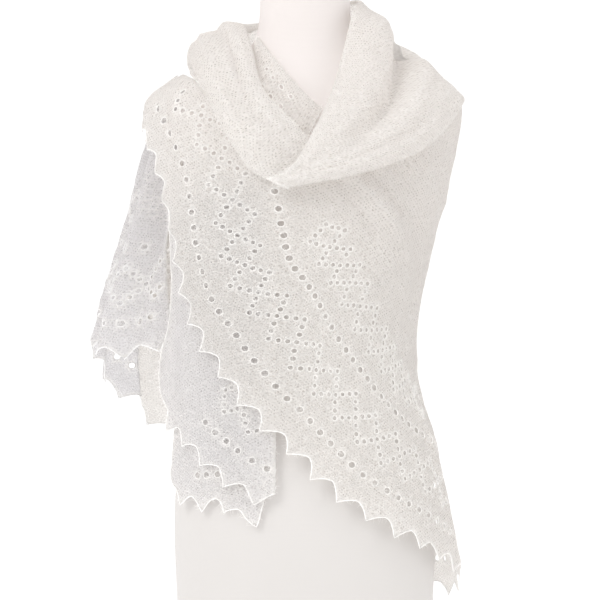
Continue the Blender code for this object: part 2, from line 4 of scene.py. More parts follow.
import bmesh
import bpy
import numpy as np
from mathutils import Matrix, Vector


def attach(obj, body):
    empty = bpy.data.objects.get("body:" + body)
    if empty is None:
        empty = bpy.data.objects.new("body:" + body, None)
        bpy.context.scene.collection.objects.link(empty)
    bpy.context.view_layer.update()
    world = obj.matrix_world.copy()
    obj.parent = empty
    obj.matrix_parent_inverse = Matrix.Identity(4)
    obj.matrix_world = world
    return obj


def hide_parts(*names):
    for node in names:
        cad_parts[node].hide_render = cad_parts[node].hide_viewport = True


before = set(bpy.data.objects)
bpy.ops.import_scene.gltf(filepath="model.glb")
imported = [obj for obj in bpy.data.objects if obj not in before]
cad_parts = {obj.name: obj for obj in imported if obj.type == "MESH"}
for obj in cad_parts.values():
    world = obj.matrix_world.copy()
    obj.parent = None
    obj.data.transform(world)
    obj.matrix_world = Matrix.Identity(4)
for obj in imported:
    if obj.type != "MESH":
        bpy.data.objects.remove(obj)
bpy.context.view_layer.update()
scene = bpy.context.scene

cloth = {
    "step": 0.0025,   # size of the cloth's faces
    "unrolled": 0.17,                         # metres round the body for each radian
    "layer": 0.008,                           # from one layer of the shawl to the next
    "wall": 0.001,
    "rimLift": 0.0004,                        # how far it stands out beside a hole
    "curl": 0.0024, "curlReach": 0.024,       # how far the pointed edge turns up, and how deep
    "tuck": 0.055, "tuckFrom": 100, "tuckTo": 238,   # how far the back goes up in the roll, and its degrees
}
ripples = {"wound": 0.0005, "hanging": 0.0004, "rolled": 0.0006}    # small unevenness, in metres

lace = {                                      # depths are measured from the pointed edge
    "pointPitch": 0.040, "pointDepth": 0.018, "pointHollow": 1.65, "pointEven": 0.93, "pointUneven": 0.09,
    "rowDepth": 0.032, "rowPitch": 0.020, "band": 0.100,
    "eyelet": 0.0043, "smallHole": 0.0033, "holePitch": 0.0108, "diamondSide": 3,
    "rimWidth": 0.0015, "openwork": 0.007, "yarn": 0.0007, "ringYarn": 0.0006,
}

halo = {"width": 0.00026, "shortest": 0.004, "longest": 0.010, "rimShare": 5,
        "perSquareMetre": 50000}

# sizes shared with the solids: each row starts with its height, its degrees or its place at the neck
bodyRows = [
    (0, 0.166, 0.11, 0.126), (0.075, 0.17, 0.116, 0.131), (0.18, 0.1735, 0.122, 0.134),
    (0.25, 0.169, 0.12, 0.13), (0.31, 0.156, 0.111, 0.118), (0.365, 0.137, 0.098, 0.101),
    (0.414, 0.124, 0.09, 0.089), (0.465, 0.126, 0.093, 0.087), (0.52, 0.136, 0.104, 0.091),
    (0.58, 0.147, 0.119, 0.097), (0.63, 0.156, 0.116, 0.102), (0.68, 0.167, 0.103, 0.105),
    (0.715, 0.172, 0.089, 0.103), (0.74, 0.162, 0.078, 0.097), (0.762, 0.136, 0.067, 0.089),
    (0.782, 0.104, 0.057, 0.08), (0.802, 0.079, 0.049, 0.071), (0.828, 0.064, 0.044, 0.066),
    (0.865, 0.06, 0.044, 0.069), (0.918, 0.059, 0.046, 0.072), (0.93, 0.055, 0.042, 0.068),
    (0.934, 0.044, 0.031, 0.057),
]
wrapRows = [
    (0.07, 0.211, 0.212, 0.15, 0.158), (0.14, 0.199, 0.21, 0.148, 0.156),
    (0.208, 0.189, 0.208, 0.145, 0.154), (0.25, 0.182, 0.207, 0.143, 0.149),
    (0.29, 0.174, 0.207, 0.14, 0.142), (0.348, 0.155, 0.209, 0.136, 0.13),
    (0.381, 0.1485, 0.211, 0.134, 0.124), (0.414, 0.146, 0.211, 0.134, 0.119),
    (0.447, 0.149, 0.208, 0.136, 0.117), (0.5, 0.1595, 0.205, 0.141, 0.118),
    (0.547, 0.17, 0.207, 0.146, 0.12), (0.607, 0.185, 0.211, 0.147, 0.124),
    (0.671, 0.2005, 0.215, 0.133, 0.126), (0.724, 0.208, 0.214, 0.112, 0.122),
    (0.743, 0.204, 0.206, 0.101, 0.118), (0.762, 0.182, 0.183, 0.088, 0.111),
    (0.782, 0.146, 0.145, 0.076, 0.102), (0.8, 0.12, 0.122, 0.066, 0.092),
]
flareRows = [
    (0.3, 0.278, 0.058, 0.148), (0.381, 0.286, 0.058, 0.136), (0.412, 0.284, 0.058, 0.13),
    (0.474, 0.271, 0.058, 0.124), (0.527, 0.2555, 0.058, 0.122), (0.598, 0.234, 0.06, 0.124),
    (0.643, 0.2235, 0.061, 0.126), (0.698, 0.206, 0.058, 0.122), (0.724, 0.199, 0.056, 0.118),
    (0.75, 0.188, 0.045, 0.108), (0.785, 0.145, 0.032, 0.096),
]
frontHem = [
    (-92, 0.742), (-73, 0.705), (-59, 0.65), (-54, 0.59), (-51, 0.53), (-46, 0.472), (-34, 0.413),
    (-20, 0.349), (-3, 0.289), (15, 0.232), (31, 0.198), (46, 0.175), (60, 0.155), (78, 0.13),
    (94, 0.109),
]
frontTop = [
    (94, 0.752), (78, 0.74), (64, 0.712), (46, 0.68), (28, 0.66), (12, 0.648), (-2, 0.642), (-12, 0.65),
    (-20, 0.674), (-27, 0.704), (-35, 0.734), (-48, 0.758), (-66, 0.769), (-92, 0.774),
]
backHem = [
    (94.6, 0.107), (108, 0.094), (125, 0.092), (145, 0.112), (168, 0.155), (192, 0.215), (214, 0.28),
    (232, 0.33),
]
backTop = [
    (232, 0.77), (214, 0.782), (190, 0.79), (165, 0.79), (140, 0.784), (115, 0.77), (94.6, 0.752),
]
drapeHem = [
    (-127.1, 0.344), (-116, 0.364), (-104, 0.39), (-92, 0.423), (-80, 0.424), (-66, 0.412), (-52, 0.414),
    (-38, 0.432),
]
drapeTop = [
    (-59, 0.7), (-70, 0.728), (-82, 0.742), (-100, 0.75), (-127.1, 0.764),
]
thrownHem = [
    (188, 0.474), (196, 0.462), (210, 0.44), (224, 0.424), (236, 0.432), (239, 0.48), (241, 0.55),
    (244, 0.62), (251, 0.69), (267.5, 0.738),
]
thrownTop = [
    (267.5, 0.773), (235, 0.768), (210, 0.766), (188, 0.764),
]
upperHem = [
    (-61, 0.62), (-62, 0.54), (-62, 0.45), (-69, 0.392), (-70, 0.355), (-63, 0.33), (-62, 0.315),
    (-52, 0.304), (-43, 0.281), (-34, 0.259), (-25, 0.241), (-17, 0.228), (-11, 0.227),
]
upperTop = [
    (-11, 0.63), (-25, 0.64), (-40, 0.64), (-61, 0.625),
]
lowerHem = [
    (-63, 0.3), (-66, 0.262), (-66, 0.236), (-54, 0.222), (-43, 0.218), (-34, 0.218), (-27, 0.206),
    (-21, 0.2), (-16, 0.214),
]
lowerTop = [
    (-16, 0.6), (-35, 0.61), (-56, 0.6),
]
collarRows = [
    (-0.046, -0.17, 0.626, -0.022, -0.172, 0.617, 0.006, 0),
    (-0.026, -0.175, 0.634, 0.034, -0.175, 0.626, 0.012, 0),
    (-0.006, -0.172, 0.657, 0.098, -0.158, 0.644, 0.02, 0.004),
    (0.013, -0.158, 0.693, 0.152, -0.122, 0.669, 0.026, 0.012),
    (0.031, -0.133, 0.732, 0.188, -0.084, 0.703, 0.028, 0.024),
    (0.047, -0.095, 0.785, 0.206, -0.038, 0.73, 0.022, 0.03),
    (0.062, -0.045, 0.848, 0.211, 0.01, 0.742, 0.011, 0.03),
    (0.07, 0.02, 0.872, 0.2, 0.06, 0.745, 0.01, 0.022),
    (0.062, 0.072, 0.88, 0.16, 0.108, 0.755, 0.018, 0.008),
    (0.026, 0.106, 0.876, 0.07, 0.135, 0.768, 0.018, 0),
    (-0.02, 0.108, 0.866, -0.03, 0.138, 0.77, 0.018, 0),
    (-0.056, 0.086, 0.852, -0.105, 0.118, 0.768, 0.02, 0),
    (-0.076, 0.045, 0.84, -0.152, 0.072, 0.782, 0.026, 0),
    (-0.078, 0, 0.834, -0.154, 0.01, 0.79, 0.022, 0),
    (-0.068, -0.067, 0.796, -0.139, -0.066, 0.761, 0.02, 0),
    (-0.057, -0.098, 0.752, -0.121, -0.102, 0.727, 0.015, 0),
    (-0.036, -0.124, 0.722, -0.104, -0.128, 0.692, 0.013, 0),
    (-0.013, -0.14, 0.699, -0.084, -0.146, 0.659, 0.011, 0),
    (0.003, -0.148, 0.679, -0.06, -0.154, 0.632, 0.008, 0),
    (0.018, -0.148, 0.668, -0.022, -0.154, 0.622, 0.005, 0),
]
innerRows = [
    (-0.062, -0.026, 0.821, -0.066, -0.034, 0.803, 0.003, 0),
    (-0.054, -0.044, 0.808, -0.07, -0.052, 0.775, 0.004, 0),
    (-0.043, -0.064, 0.792, -0.077, -0.07, 0.75, 0.004, 0),
    (-0.027, -0.078, 0.771, -0.069, -0.09, 0.728, 0.004, 0),
    (-0.004, -0.095, 0.744, -0.044, -0.108, 0.702, 0.004, 0),
    (0.012, -0.103, 0.728, -0.017, -0.117, 0.686, 0.004, 0),
    (0.022, -0.106, 0.72, 0.002, -0.119, 0.68, 0.003, 0),
]
frontFolds = [
    (12, 0.64, 42, 0.56, 0.016, 0.007), (40, 0.64, 75, 0.47, 0.022, -0.004),
    (66, 0.32, 84, 0.13, 0.014, 0.005), (84, 0.36, 92, 0.14, 0.012, -0.004),
    (-70, 0.69, -30, 0.48, 0.02, 0.004), (-40, 0.72, -16, 0.56, 0.022, -0.004),
    (-10, 0.56, 40, 0.33, 0.03, 0.003),
]
drapeFolds = [
    (-50, 0.64, -56, 0.38, 0.014, -0.008), (-64, 0.68, -70, 0.38, 0.014, 0.007),
    (-78, 0.66, -82, 0.38, 0.014, -0.008), (-104, 0.64, -102, 0.34, 0.018, -0.01),
    (-116, 0.64, -114, 0.33, 0.016, 0.007),
]
backFolds = [
    (110, 0.64, 118, 0.1, 0.03, 0.006), (138, 0.62, 140, 0.12, 0.032, -0.004),
    (165, 0.6, 160, 0.15, 0.034, 0.006), (196, 0.4, 190, 0.22, 0.034, -0.004),
    (216, 0.42, 214, 0.27, 0.03, 0.006),
]
thrownFolds = [
    (248, 0.74, 232, 0.43, 0.018, 0.007), (230, 0.74, 218, 0.43, 0.018, -0.003),
    (212, 0.74, 204, 0.45, 0.018, 0.006),
]
endFolds = [
    (-50, 0.48, -48, 0.26, 0.014, 0.003), (-33, 0.42, -30, 0.2, 0.014, -0.003),
]
# finer creases, that only the visible cloth has
frontCreases = [
    (12, 0.652, 39, 0.568, 0.005, 0.0055), (8, 0.640, 31, 0.556, 0.006, -0.0040),
    (17, 0.655, 44, 0.585, 0.006, -0.0050),
    (-78, 0.700, -62, 0.560, 0.010, 0.0022), (-60, 0.735, -44, 0.600, 0.007, -0.0020),
    (-52, 0.700, -30, 0.430, 0.012, 0.0024), (-30, 0.640, -12, 0.420, 0.009, -0.0018),
    (-14, 0.640, 2, 0.500, 0.011, 0.0026), (4, 0.640, 30, 0.590, 0.007, -0.0022),
    (20, 0.640, 58, 0.520, 0.008, 0.0024), (34, 0.655, 70, 0.560, 0.010, 0.0020),
    (50, 0.670, 84, 0.600, 0.009, -0.0022), (62, 0.560, 90, 0.400, 0.013, 0.0020),
    (48, 0.440, 82, 0.330, 0.010, -0.0018), (30, 0.360, 66, 0.230, 0.012, 0.0022),
    (74, 0.290, 88, 0.150, 0.007, -0.0024), (58, 0.300, 72, 0.180, 0.008, 0.0016),
    (-36, 0.560, -20, 0.400, 0.008, 0.0018), (0, 0.420, 26, 0.300, 0.011, -0.0016),
]
backCreases = [
    (100, 0.700, 112, 0.420, 0.012, 0.0022), (122, 0.740, 128, 0.500, 0.009, -0.0020),
    (128, 0.460, 132, 0.140, 0.014, 0.0024), (150, 0.700, 146, 0.380, 0.010, 0.0020),
    (156, 0.360, 152, 0.160, 0.008, -0.0022), (176, 0.700, 172, 0.300, 0.013, 0.0018),
    (186, 0.560, 182, 0.260, 0.009, -0.0018), (204, 0.420, 200, 0.260, 0.012, 0.0022),
    (226, 0.420, 224, 0.320, 0.009, -0.0020), (104, 0.360, 110, 0.130, 0.008, 0.0020),
]
drapeCreases = [
    (238, 0.640, 238, 0.370, 0.008, 0.0022), (262, 0.680, 264, 0.420, 0.010, 0.0026),
    (272, 0.620, 275, 0.440, 0.007, -0.0022), (286, 0.700, 284, 0.450, 0.009, -0.0020),
    (298, 0.640, 296, 0.430, 0.008, 0.0024), (312, 0.560, 310, 0.440, 0.007, 0.0018),
]


def readRows(rows, at):
    # columns of a table between its rows, on a smooth curve
    table = np.array(rows, dtype=float)
    keys, values = table[:, 0], table[:, 1:]
    at = np.clip(np.asarray(at, dtype=float), keys[0], keys[-1])
    low = np.clip(np.searchsorted(keys, at) - 1, 0, len(keys) - 2)
    high = low + 1
    before, after = np.maximum(low - 1, 0), np.minimum(low + 2, len(keys) - 1)
    span = keys[high] - keys[low]
    part = ((at - keys[low]) / span)[..., None]
    rise = (values[high] - values[before]) * (span / (keys[high] - keys[before]))[..., None]
    fall = (values[after] - values[low]) * (span / (keys[after] - keys[low]))[..., None]
    square, cube = part ** 2, part ** 3
    found = (2 * cube - 3 * square + 1) * values[low] + (cube - 2 * square + part) * rise
    found = found + (3 * square - 2 * cube) * values[high] + (cube - square) * fall
    return [found[..., column] for column in range(values.shape[1])]


def smooth(low, high, at):
    part = np.clip((at - low) / (high - low), 0, 1)
    return part * part * (3 - 2 * part)


def onEllipse(angle, height, right, left, front, back, out):
    wide = np.where(np.sin(angle) > 0, right, left) + out
    deep = np.where(np.cos(angle) > 0, front, back) + out
    return np.stack([wide * np.sin(angle), -deep * np.cos(angle), height], axis=-1)


def onBody(angle, height, out=0.0):
    side, front, back = readRows(bodyRows, height)
    return onEllipse(angle, height, side, side, front, back, out)


def onWrap(angle, height, out=0.0):
    return onEllipse(angle, height, *readRows(wrapRows, height), out)


def onFlare(angle, height, out=0.0):
    side, front, back = readRows(flareRows, height)
    return onEllipse(angle, height, side, side, front, back, out)


def onShawl(angle, height, out=0.0):
    # wound round the body, and on the left hanging clear of it
    part = smooth(175, 232, np.degrees(angle))[..., None]
    return onWrap(angle, height, out) * (1 - part) + onFlare(angle, height, out) * part


def foldRise(folds, flat):
    rise = np.zeros(len(flat))
    for angle, height, endAngle, endHeight, width, lift in folds:
        start = np.array([math.radians(angle) * cloth["unrolled"], height])
        line = np.array([math.radians(endAngle) * cloth["unrolled"], endHeight]) - start
        part = np.clip((flat - start) @ line / (line @ line), 0, 1)
        away = np.linalg.norm(flat - start - part[:, None] * line, axis=1) / width
        rise += lift * np.exp(-away * away)
    return rise


class Hem:
    # a line on the unrolled cloth, measured along its length, with the cloth on its left hand
    def __init__(self, rows, samples=240):
        keyed = [(place, *row) for place, row in enumerate(rows)]
        angle, height = readRows(keyed, np.linspace(0, len(rows) - 1, samples + 1))
        self.points = np.stack([np.radians(angle) * cloth["unrolled"], height], axis=-1)
        steps = np.linalg.norm(np.diff(self.points, axis=0), axis=1)
        self.runs = np.concatenate([[0], np.cumsum(steps)])
        self.length = self.runs[-1]

    def at(self, run):
        run = np.clip(run, 0, self.length)
        return np.stack([np.interp(run, self.runs, self.points[:, 0]),
                         np.interp(run, self.runs, self.points[:, 1])], axis=-1)

    def inward(self, run, window):
        along = self.at(run + window) - self.at(run - window)
        square = np.stack([-along[..., 1], along[..., 0]], axis=-1)
        return square / np.linalg.norm(square, axis=-1, keepdims=True)

    def inside(self, run, depth, window=0.10):
        return self.at(run) + self.inward(run, window) * depth

    def pointed(self, start=0.0, stop=None):
        stop = self.length if stop is None else stop
        count = max(round((stop - start) / lace["pointPitch"]), 1)
        part = np.linspace(0, count, count * 16 + 1)
        reach = (1 - np.abs(2 * (part % 1.0) - 1)) ** lace["pointHollow"]
        reach *= lace["pointEven"] + lace["pointUneven"] * np.sin(np.floor(part) * 2.3)
        runs = start + part * (stop - start) / count
        tips = self.at(runs) - self.inward(runs, 0.02) * (lace["pointDepth"] * reach)[:, None]
        before = self.at(np.arange(0, start, 0.01)) if start else np.zeros((0, 2))
        after = self.at(np.arange(stop, self.length, 0.01)[1:]) if stop < self.length else np.zeros((0, 2))
        return np.concatenate([before, tips, after])

    def steps(self, size=0.01):
        return self.at(np.linspace(0, self.length, max(round(self.length / size), 1) + 1))

    def eyelets(self, start, stop, depth):
        runs = start + lace["rowPitch"] * (np.arange(int((stop - start) / lace["rowPitch"])) + 0.5)
        return [(place, lace["eyelet"]) for place in self.inside(runs, depth)]

    def diamonds(self, start, stop, depth):
        # a chain of diamonds of small holes, whose corners touch, with the holes that the solids have first
        side, pitch = lace["diamondSide"], lace["holePitch"]
        marks = set()
        for step in range(side + 1):
            marks |= {(step, 0), (0, step), (step, side), (side, step)}
        inSolids = [(0, 0), (2, 0), (3, 1), (1, 3), (0, 2)]
        others = sorted(marks - set(inSolids) - {(side, side)})
        half = pitch / math.sqrt(2)
        repeat = 2 * side * half
        holes = []
        for chosen in (inSolids, others):
            for number in range(int((stop - start) / repeat)):
                for along, over in chosen:
                    run = start + number * repeat + (along + over) * half
                    holes.append((self.inside(run, depth + (along - over) * half), lace["smallHole"]))
        return holes

    def holes(self, rows):
        # each row is a kind of hole, where it starts, what it leaves free at the end, and its depth
        makers = {"eyelets": self.eyelets, "diamonds": self.diamonds}
        return [hole for kind, start, free, depth in rows
                for hole in makers[kind](start, self.length - free, depth)]


def within(outline, flat):
    # which places lie inside a closed outline
    inside = np.zeros(len(flat), dtype=bool)
    for (x0, y0), (x1, y1) in zip(outline, np.roll(outline, -1, axis=0)):
        if y0 != y1:
            crosses = (y0 > flat[:, 1]) != (y1 > flat[:, 1])
            inside ^= crosses & (flat[:, 0] < x0 + (x1 - x0) * (flat[:, 1] - y0) / (y1 - y0))
    return inside


def nearestOn(outline, flat):
    # the nearest point of a closed outline to each place, and how far it is
    nearest, gap = np.array(flat), np.full(len(flat), 1.0)
    for start, end in zip(outline, np.roll(outline, -1, axis=0)):
        line = end - start
        if line @ line < 1e-12:
            continue
        part = np.clip((flat - start) @ line / (line @ line), 0, 1)
        found = start + part[:, None] * line
        away = np.linalg.norm(flat - found, axis=1)
        closer = away < gap
        nearest[closer], gap[closer] = found[closer], away[closer]
    return nearest, gap


def spaced(outline, holes, gap=0.0012):
    # leaves out a hole that is too near the edge or another hole, and makes the others a little uneven
    kept = []
    chance = np.random.default_rng(7)
    centres = np.array([centre for centre, _ in holes])
    _, away = nearestOn(outline, centres)
    inside = within(outline, centres)
    for (centre, radius), room, isIn in zip(holes, away, inside):
        if isIn and room > radius + 0.003:
            if all(np.linalg.norm(centre - other) > radius + size + gap for other, size in kept):
                kept.append((centre + chance.normal(0, 0.0003, 2), radius * chance.uniform(0.90, 1.04)))
    return kept


def flatCloth(outline, holes, low, high, step):
    # a fine flat grid, trimmed to its outline with round holes, and how close each vertex is to a hole
    columns, lines = (max(round(side), 1) for side in (high - low) / step)
    flatMesh = bmesh.new()
    bmesh.ops.create_grid(flatMesh, x_segments=columns, y_segments=lines, size=0.5)
    flat = low + (np.array([vert.co[:2] for vert in flatMesh.verts]) + 0.5) * (high - low)
    moved, rim, openwork = flat.copy(), np.zeros(len(flat)), np.zeros(len(flat))
    keep = within(outline, flat)
    _, gap = nearestOn(outline, flat)
    keep &= gap > 0.2 * step
    onRing = np.zeros(len(flat), dtype=bool)
    for centre, radius in holes:
        near = np.flatnonzero(np.abs(flat - centre).max(axis=1) < radius + 3 * step)
        offset = flat[near] - centre
        reach = np.linalg.norm(offset, axis=1)
        gone = near[reach <= max(radius * 0.5, reach.min() + 1e-6)]
        keep[gone] = False
        beside = np.zeros(len(near), dtype=bool)
        for other in gone:
            beside |= np.abs(flat[near] - flat[other]).max(axis=1) < 1.1 * step
        ring = near[beside & ~np.isin(near, gone)]
        away = flat[ring] - centre
        moved[ring] = centre + away / np.linalg.norm(away, axis=1, keepdims=True) * radius
        onRing[ring] = True
        reach = np.linalg.norm(moved[near] - centre, axis=1)
        rim[near] = np.maximum(rim[near], np.exp(-((reach - radius) / lace["rimWidth"]) ** 2))
        openwork[near] = np.maximum(openwork[near], np.exp(-((reach - radius) / lace["openwork"]) ** 2))
    edgeRim = np.exp(-(gap / lace["rimWidth"]) ** 2)
    flatMesh.verts.layers.float.new("rim")
    flatMesh.verts.layers.float.new("openwork")
    rimLayer, openLayer = (flatMesh.verts.layers.float[name] for name in ("rim", "openwork"))
    rim = np.maximum(rim, edgeRim)
    for vert, place, kept, atRim, atHole, isRing in zip(flatMesh.verts, moved, keep, rim, openwork, onRing):
        vert.co = (place[0], place[1], 0)
        vert[rimLayer], vert[openLayer] = atRim, atHole
        vert.tag = bool(kept)
        vert.select = bool(isRing)
    bmesh.ops.delete(flatMesh, geom=[vert for vert in flatMesh.verts if not vert.tag], context="VERTS")
    bmesh.ops.delete(flatMesh, geom=[vert for vert in flatMesh.verts if not vert.link_faces], context="VERTS")
    border = [vert for vert in flatMesh.verts if vert.is_boundary and not vert.select]
    onLine, _ = nearestOn(outline, np.array([vert.co[:2] for vert in border]))
    for vert, place in zip(border, onLine):
        vert.co = (place[0], place[1], 0)
        vert[rimLayer] = 1.0
    bmesh.ops.remove_doubles(flatMesh, verts=flatMesh.verts, dist=0.0002)
    return flatMesh


def columnsBetween(flatMesh, start, stop):
    # a copy of the faces whose middles lie between two places along the cloth
    part = flatMesh.copy()
    outside = [face for face in part.faces if not start <= face.calc_center_median().x < stop]
    bmesh.ops.delete(part, geom=outside, context="FACES")
    return part


def placed(name, flatMesh, placeAt, laceAt, paint):
    # puts flat cloth in its place with a wall, and keeps the lace pattern's own coordinates as its UV map
    mesh = bpy.data.meshes.new(name)
    flatMesh.to_mesh(mesh)
    flatMesh.free()
    flat = np.empty(len(mesh.vertices) * 3)
    mesh.vertices.foreach_get("co", flat)
    flat = flat.reshape(-1, 3)[:, :2]
    rim = np.empty(len(flat))
    mesh.attributes["rim"].data.foreach_get("value", rim)
    place = placeAt(flat, rim)
    mesh.vertices.foreach_set("co", place.ravel())
    corners = np.empty(len(mesh.loops), dtype=np.int32)
    mesh.loops.foreach_get("vertex_index", corners)
    mesh.uv_layers.new(name="lace").data.foreach_set("uv", laceAt(flat)[corners].ravel())
    mesh.update()
    middle = np.empty(len(mesh.polygons) * 3)
    normals = np.empty(len(mesh.polygons) * 3)
    mesh.polygons.foreach_get("center", middle)
    mesh.polygons.foreach_get("normal", normals)
    middle, normals = middle.reshape(-1, 3), normals.reshape(-1, 3)
    if np.sum((middle * normals)[:, :2]) < 0:
        mesh.flip_normals()
    piece = addMesh(name, mesh, paint)
    thick = piece.modifiers.new("wall", "SOLIDIFY")
    thick.thickness = cloth["wall"]
    thick.offset = 0
    return piece


def addMesh(name, mesh, paint):
    mesh.shade_smooth()
    mesh.materials.append(paint)
    piece = bpy.data.objects.new(name, mesh)
    scene.collection.objects.link(piece)
    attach(piece, "root")
    return piece


def addPiece(name, built, paint):
    mesh = bpy.data.meshes.new(name)
    built.to_mesh(mesh)
    built.free()
    return addMesh(name, mesh, paint)


def hemYarn(name, path, paint):
    # the thicker yarn of the bound-off edge, a tube along a path
    sides, radius, uneven = 6, lace["yarn"], 0.18
    tube = bmesh.new()
    bmesh.ops.create_grid(tube, x_segments=sides, y_segments=len(path) - 1, size=0.5)
    along = np.gradient(path, axis=0)
    along /= np.linalg.norm(along, axis=1, keepdims=True)
    outward = path * np.array([1, 1, 0])
    outward -= along * np.sum(outward * along, axis=1, keepdims=True)
    outward /= np.linalg.norm(outward, axis=1, keepdims=True)
    beside = np.cross(along, outward)
    for number, vert in enumerate(tube.verts):
        ring, side = divmod(number, sides + 1)
        turn = 2 * math.pi * side / sides
        thick = radius * (1 + uneven * math.sin(ring * 2.1) * math.sin(ring * 0.37))
        place = path[ring] + thick * (math.cos(turn) * outward[ring] + math.sin(turn) * beside[ring])
        vert.co = Vector(place)
    bmesh.ops.remove_doubles(tube, verts=tube.verts, dist=0.00005)
    bmesh.ops.holes_fill(tube, edges=[edge for edge in tube.edges if edge.is_boundary], sides=0)
    bmesh.ops.recalc_face_normals(tube, faces=tube.faces)
    return addPiece(name, tube, paint)


def eyeletYarn(name, holes, placeAt, paint):
    # a ring of thicker yarn round each hole
    around, sides = 12, 4
    rings = bmesh.new()
    for _ in holes:
        bmesh.ops.create_grid(rings, x_segments=sides, y_segments=around, size=0.5)
    turn = np.linspace(0, 2 * math.pi, around + 1)
    circle = np.stack([np.cos(turn), np.sin(turn)], axis=-1)
    centres = np.array([centre for centre, _ in holes])[:, None]
    radii = np.array([radius for _, radius in holes])[:, None, None]

    def ringAt(scale):
        flat = centres + circle * (radii * scale)
        return placeAt(flat.reshape(-1, 2), np.ones(flat.size // 2)).reshape(-1, around + 1, 3)

    path, wider = ringAt(1.05), ringAt(1.25)
    radial = wider - path
    radial /= np.linalg.norm(radial, axis=2, keepdims=True)
    along = path[:, np.arange(1, around + 2) % around] - path[:, np.arange(-1, around) % around]
    square = np.cross(radial, along)
    square /= np.linalg.norm(square, axis=2, keepdims=True)
    twist = np.linspace(0, 2 * math.pi, sides + 1)[:, None]
    corners = path[:, :, None] + lace["ringYarn"] * (np.cos(twist) * radial[:, :, None]
                                                     + np.sin(twist) * square[:, :, None])
    for vert, place in zip(rings.verts, corners.reshape(-1, 3)):
        vert.co = Vector(place)
    bmesh.ops.remove_doubles(rings, verts=rings.verts, dist=0.00003)
    bmesh.ops.recalc_face_normals(rings, faces=rings.faces)
    return addPiece(name, rings, paint)


def mohairHalo(name, piece, count, seed, paint):
    # fine loose fibres that stand off the cloth, each a narrow bent strip of three faces
    chance = np.random.default_rng(seed)
    mesh = piece.data
    places, normals = np.empty(len(mesh.vertices) * 3), np.empty(len(mesh.vertices) * 3)
    mesh.vertices.foreach_get("co", places)
    mesh.vertices.foreach_get("normal", normals)
    places, normals = places.reshape(-1, 3), normals.reshape(-1, 3)
    rim = np.empty(len(places))
    mesh.attributes["rim"].data.foreach_get("value", rim)
    likely = 1 + halo["rimShare"] * rim
    chosen = chance.choice(len(places), count, p=likely / likely.sum())
    roots, normals = places[chosen], normals[chosen]
    normals *= np.sign(np.sum(normals * roots * np.array([1, 1, 0]), axis=1) + 1e-9)[:, None]
    lean = np.cross(normals, chance.normal(size=(count, 3)))
    lean /= np.linalg.norm(lean, axis=1, keepdims=True)
    long = chance.uniform(halo["shortest"], halo["longest"], (count, 1))
    stand = chance.uniform(0.1, 0.5, (count, 1))
    side = np.cross(normals, lean) * halo["width"] / 2
    strips = bmesh.new()
    bmesh.ops.create_grid(strips, x_segments=3, y_segments=2 * count - 1, size=0.5)
    strips.faces.ensure_lookup_table()
    between = [face for face in strips.faces if (face.index // 3) % 2]
    bmesh.ops.delete(strips, geom=between, context="FACES_ONLY")
    bmesh.ops.delete(strips, geom=[edge for edge in strips.edges if not edge.link_faces], context="EDGES")
    part = np.array([0.0, 0.4, 0.75, 1.0])[None, :, None]
    bend = chance.normal(0, 0.25, (count, 1, 1)) * part ** 2
    rise = normals[:, None] * stand[:, None] * np.sin(part * 2.4)
    sway = side[:, None] / halo["width"] * bend
    middle = roots[:, None] + long[:, None] * (lean[:, None] * part + rise + sway)
    wide = side[:, None] * (1.2 - part)
    corners = np.stack([middle - wide, middle + wide], axis=1).reshape(-1, 3)
    for vert, place in zip(strips.verts, corners):
        vert.co = Vector(place)
    return addPiece(name, strips, paint)


class Value:
    # a socket of a material, on which + - * / make Math nodes
    def __init__(self, paint, socket):
        self.paint, self.socket = paint, socket

    def math(self, operation, *others):
        return self.paint.node("ShaderNodeMath", {"operation": operation},
                               {number: value for number, value in enumerate((self, *others))})

    def __add__(self, other):
        return self.math("ADD", other)

    def __mul__(self, other):
        return self.math("MULTIPLY", other)

    def __sub__(self, other):
        return self.math("SUBTRACT", other)

    def __rsub__(self, other):
        return self.paint.node("ShaderNodeMath", {"operation": "SUBTRACT"}, {0: other, 1: self})

    __radd__, __rmul__ = __add__, __mul__

    def between(self, low, high):
        return self.paint.node("ShaderNodeMapRange", {"interpolation_type": "SMOOTHSTEP"},
                               {"Value": self, "From Min": low, "From Max": high})


class Paint:
    # one material, whose nodes all come from node()
    def __init__(self, name):
        self.material = bpy.data.materials.new(name)
        self.material.use_nodes = True
        self.tree = self.material.node_tree
        self.shader = self.tree.nodes["Principled BSDF"]

    def put(self, socket, value):
        if isinstance(value, Value):
            self.tree.links.new(value.socket, socket)
        else:
            socket.default_value = value

    def node(self, kind, settings=None, inputs=None, output=0):
        made = self.tree.nodes.new(kind)
        for key, value in (settings or {}).items():
            setattr(made, key, value)
        for key, value in (inputs or {}).items():
            self.put(made.inputs[key], value)
        return Value(self, made.outputs[output])

    def mix(self, factor, first, second):
        return self.node("ShaderNodeMix", {"data_type": "RGBA"}, {0: factor, 6: first, 7: second}, 2)

    def shade(self, **values):
        for key, value in values.items():
            self.put(self.shader.inputs[key.replace("_", " ")], value)


